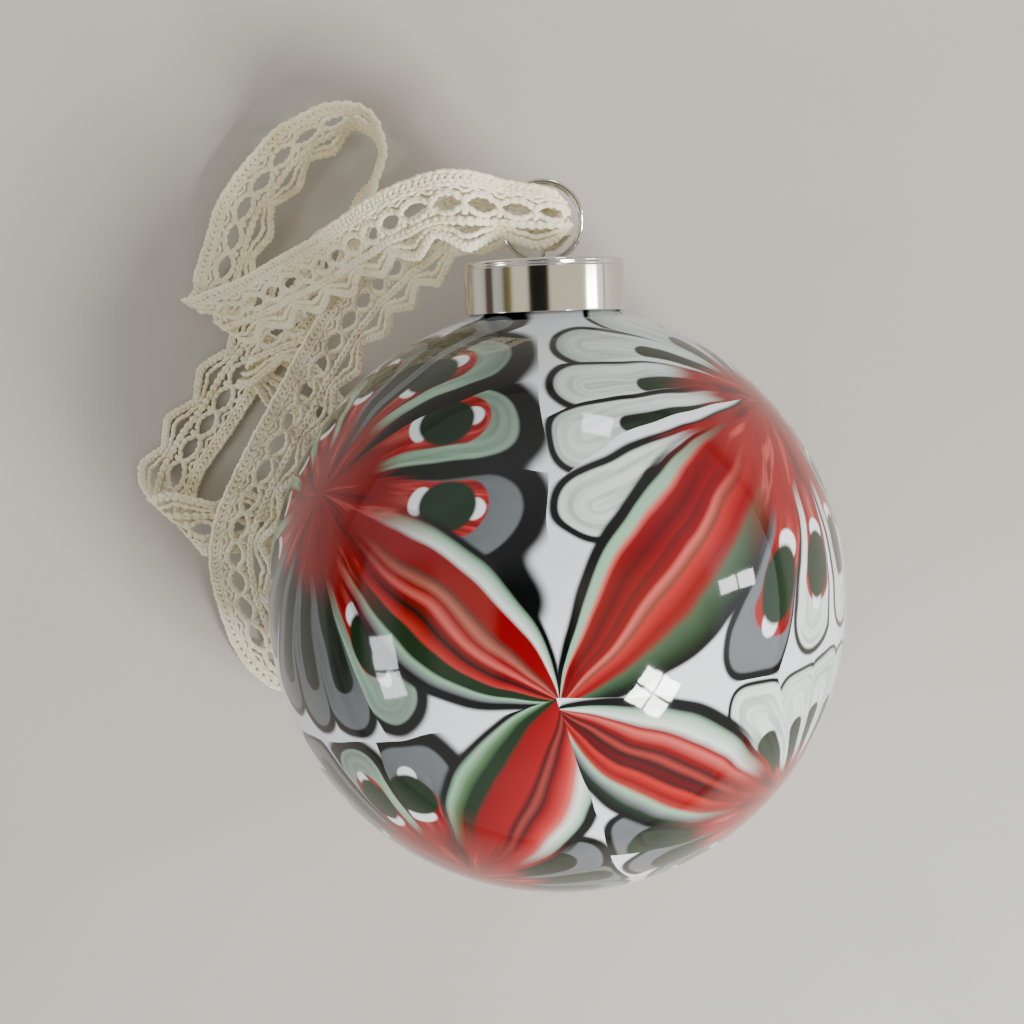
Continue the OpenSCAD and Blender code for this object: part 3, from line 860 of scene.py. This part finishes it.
def ball_outline():
    """Half section of the glass: outside up to the neck's rim, and back down the inside."""
    rim = GLASS / 2
    outside = arc(0, 0, BALL_R, -90, 0, 90) + arc(0, STRETCH, BALL_R, 0, shoulder_deg, 72)
    outside += arc(fillet_x, fillet_y, FILLET, 180 + shoulder_deg, 180, 18)[1:]
    top = arc(NECK_R - rim, neck_top - rim, rim, 0, 180, 9)
    inside = arc(fillet_x, fillet_y, FILLET + GLASS, 180, 180 + shoulder_deg, 12)
    inside += arc(0, STRETCH, BALL_R - GLASS, shoulder_deg, 0, 30)[1:]
    inside += arc(0, 0, BALL_R - GLASS, 0, -90, 40)
    outside[0] = (0, -BALL_R)
    inside[-1] = (0, -BALL_R + GLASS)
    return outside + top + inside


ball = lathe("painted_ball", ball_outline(), 288, paint_material(), closed=False, sharp_deg=60)
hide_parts("glass_ball")
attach(ball, "ball")


# ---------------------------------------------------------------- cap, ring and clip
def nickel(name, tint, rough):
    m = Shader(name)
    place = m.place()
    wear = m.noise(place, 900, 3, 0.6)
    haze = m.noise(place, 120, 2, 0.5)
    roughness = m.math("MULTIPLY_ADD", haze, 0.10, rough - 0.03)
    m.bump(wear, 0.04, 0.02)
    return m.surface(Base_Color=(*srgb(*tint), 1), Metallic=1.0, Roughness=roughness)


def cap_outline():
    lip = LIP_W / 2
    inner = CAP_R - CAP_WALL
    edge = 0.12
    base = CAP_BASE
    side_top = CAP_TOP - LIP_W - 0.05
    return (
        arc(inner + edge, base + edge, edge, 180, 270, 4)
        + arc(CAP_R - edge, base + edge, edge, -90, 0, 5)
        + [(CAP_R, base + 0.3), (CAP_R, side_top - 0.35)]
        + arc(CAP_R - 0.1, side_top - 0.26, 0.1, 0, 80, 4)
        + [(CAP_R - 0.13, side_top - 0.12), (CAP_R - 0.13, side_top - 0.02)]
        + arc(CAP_R - lip, CAP_TOP - lip, lip, -40, 180, 16)
        + [(CAP_R - LIP_W, plate_top + 0.1), (CAP_R - LIP_W - 0.1, plate_top)]
        + [(PLATE_HOLE_R + 0.08, plate_top), (PLATE_HOLE_R, plate_top - 0.08)]
        + [(PLATE_HOLE_R, plate_top - PLATE + 0.08), (PLATE_HOLE_R + 0.08, plate_top - PLATE)]
        + [(inner - 0.1, plate_top - PLATE), (inner, plate_top - PLATE - 0.1)]
    )


cap = lathe("plated_cap", cap_outline(), 192, nickel("cap_nickel", (214, 211, 203), 0.09), sharp_deg=60)
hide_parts("cap")
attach(cap, "cap")

wire_metal = nickel("wire_nickel", (208, 206, 200), 0.12)
stack_half = COIL_PITCH / 2 + RING_WIRE / 2
hinge_y = plate_top + EYE_GAP + stack_half


def ring_path():
    """One coil, a step across, and the other coil."""
    step = 40
    rows = []
    for a in np.linspace(step / 2, 720 - step / 2, 400):
        x = min(1.0, max(0.0, (a - (360 - step / 2)) / step))
        z = COIL_PITCH * (x * x * (3 - 2 * x) - 0.5)
        turn = math.radians(a)
        rows.append((RING_R * math.cos(turn), RING_Y + RING_R * math.sin(turn), BALL_Z + z))
    return rows


ring = tube("split_ring_wire", ring_path(), RING_WIRE / 2, wire_metal, (0, 0, 1), 24)
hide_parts("split_ring")
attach(ring, "ring")


def clip_path():
    bore_leg = NECK_R - GLASS - CLIP_WIRE / 2 - LEG_GAP
    hole_leg = PLATE_HOLE_R - CLIP_WIRE / 2 - EYE_GAP
    eye_half = stack_half + EYE_GAP + CLIP_WIRE / 2
    leg = [
        (bore_leg + 1.2, neck_top - LEG_DROP), (bore_leg, neck_top - LEG_DROP / 2),
        (bore_leg * 0.6, neck_top - 2), (hole_leg, neck_top - 0.3), (hole_leg - 0.05, plate_top - 0.1),
        (eye_half, hinge_y),
    ]
    eye = [(x, hinge_y + y) for x, y in arc(0, 0, eye_half, 22.5, 157.5, 7)]
    half = leg + eye + [(-z, y) for z, y in leg[::-1]]
    return spline([(0, y, BALL_Z + z) for z, y in half], 10)


clip = tube("spring_wire", clip_path(), CLIP_WIRE / 2, wire_metal, (1, 0, 0), 16)
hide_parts("spring_clip")
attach(clip, "clip")


# ---------------------------------------------------------------- floor and light
def make_floor():
    m = Shader("pale_floor")
    colour = m.ramp(m.noise(m.place(), 6, 3, 0.5), [(0.35, (0.44, 0.41, 0.37)), (0.65, (0.50, 0.47, 0.43))])
    m.surface(Base_Color=colour, Roughness=0.8)
    size = 1500
    floor = mesh_object(
        "floor", [(-size, -size, 0), (size, -size, 0), (size, size, 0), (-size, size, 0)], [[0, 1, 2, 3]],
        m.material, 0,
    )


def make_light(name, at_mm, way, up, size_mm, power, colour):
    """A flat lamp that shines against the direction way, with its height along up."""
    data = bpy.data.lights.new(name, "AREA")
    data.shape = "RECTANGLE"
    data.size, data.size_y = size_mm[0] * MM, size_mm[1] * MM
    data.energy = power
    data.color = colour
    lamp = bpy.data.objects.new(name, data)
    columns = Matrix((up.cross(way), up, way)).transposed()
    lamp.matrix_world = Matrix.Translation(Vector(at_mm) * MM) @ columns.to_4x4()
    bpy.context.collection.objects.link(lamp)


def make_window(name, direction, panes, size_mm, radiance, colour):
    """A window of lit panes, seen from the ball along a direction."""
    way = Vector(direction).normalized()
    middle = Vector((0, 0, BALL_Z)) + WINDOW_FAR * way
    side = way.cross(Vector((0, 0, 1))).normalized()
    up = side.cross(way)
    across, tall = panes
    area = size_mm[0] * size_mm[1] * MM * MM
    for i in range(across):
        for j in range(tall):
            x = (i - (across - 1) / 2) * (size_mm[0] + WINDOW_BAR)
            y = (j - (tall - 1) / 2) * (size_mm[1] + WINDOW_BAR)
            at = middle + x * side + y * up
            make_light(f"{name}_{i}{j}", at, way, up, size_mm, radiance * math.pi * area, colour)


make_floor()
make_window("window", (0.53, -0.41, 0.74), (2, 2), (64, 72), 100, (1.0, 0.985, 0.96))
make_window("side_window", (0.94, 0.08, 0.34), (1, 2), (46, 80), 30, (1.0, 0.99, 0.97))
make_window("left_window", (-0.88, -0.27, 0.40), (2, 1), (80, 110), 16, (0.93, 0.96, 1.0))
make_window("far_window", (0.25, 0.93, 0.25), (1, 1), (90, 90), 18, (0.85, 0.92, 1.0))


def make_room():
    """A dim room. Where the cap's side looks, it has soft upright bands, as a lived-in room would."""
    world = bpy.data.worlds.new("room")
    world.use_nodes = True
    tree = world.node_tree
    m = Shader.__new__(Shader)
    m.tree = tree
    background = tree.nodes["Background"]
    split = m.node("ShaderNodeSeparateXYZ")
    m.put(split.inputs[0], m.node("ShaderNodeTexCoord").outputs["Generated"])
    x, y, z = split.outputs
    turn = m.math("ARCTAN2", x, z)
    wall, light, dark = (0.78, 0.72, 0.58), (1.35, 1.36, 1.40), (0.015, 0.014, 0.013)
    stops = [
        (-180, (0.30, 0.26, 0.22)), (-126, (0.25, 0.21, 0.18)), (-120, (0.62, 0.60, 0.64)),
        (-96, (0.60, 0.58, 0.62)),
        (-91, (0.10, 0.07, 0.06)), (-80, (0.09, 0.07, 0.06)), (-77, (0.55, 0.55, 0.55)),
        (-65, (0.50, 0.50, 0.48)),
        (-58, (0.13, 0.11, 0.04)), (-50, (0.20, 0.18, 0.08)), (-44, wall), (-25, wall),
        (-20, dark), (4, dark),
        (9, wall), (58, wall), (64, light), (94, light), (99, dark), (116, dark), (124, (0.22, 0.19, 0.16)),
        (180, (0.30, 0.26, 0.22)),
    ]
    bands = m.ramp(m.math("MULTIPLY_ADD", turn, 0.5 / math.pi, 0.5), [((a + 180) / 360, c) for a, c in stops])
    near_cap = m.step(m.math("ABSOLUTE", y), 0.42, 0.16)
    plain = m.ramp(m.math("MULTIPLY_ADD", z, 0.5, 0.5), [
        (0.0, (0.36, 0.33, 0.30)), (0.5, (0.46, 0.45, 0.43)), (0.75, (0.66, 0.66, 0.65)),
        (1.0, (0.26, 0.26, 0.26)),
    ])
    m.put(background.inputs[0], m.mix(near_cap, plain, bands))
    background.inputs[1].default_value = 1.15
    bpy.context.scene.world = world


make_room()
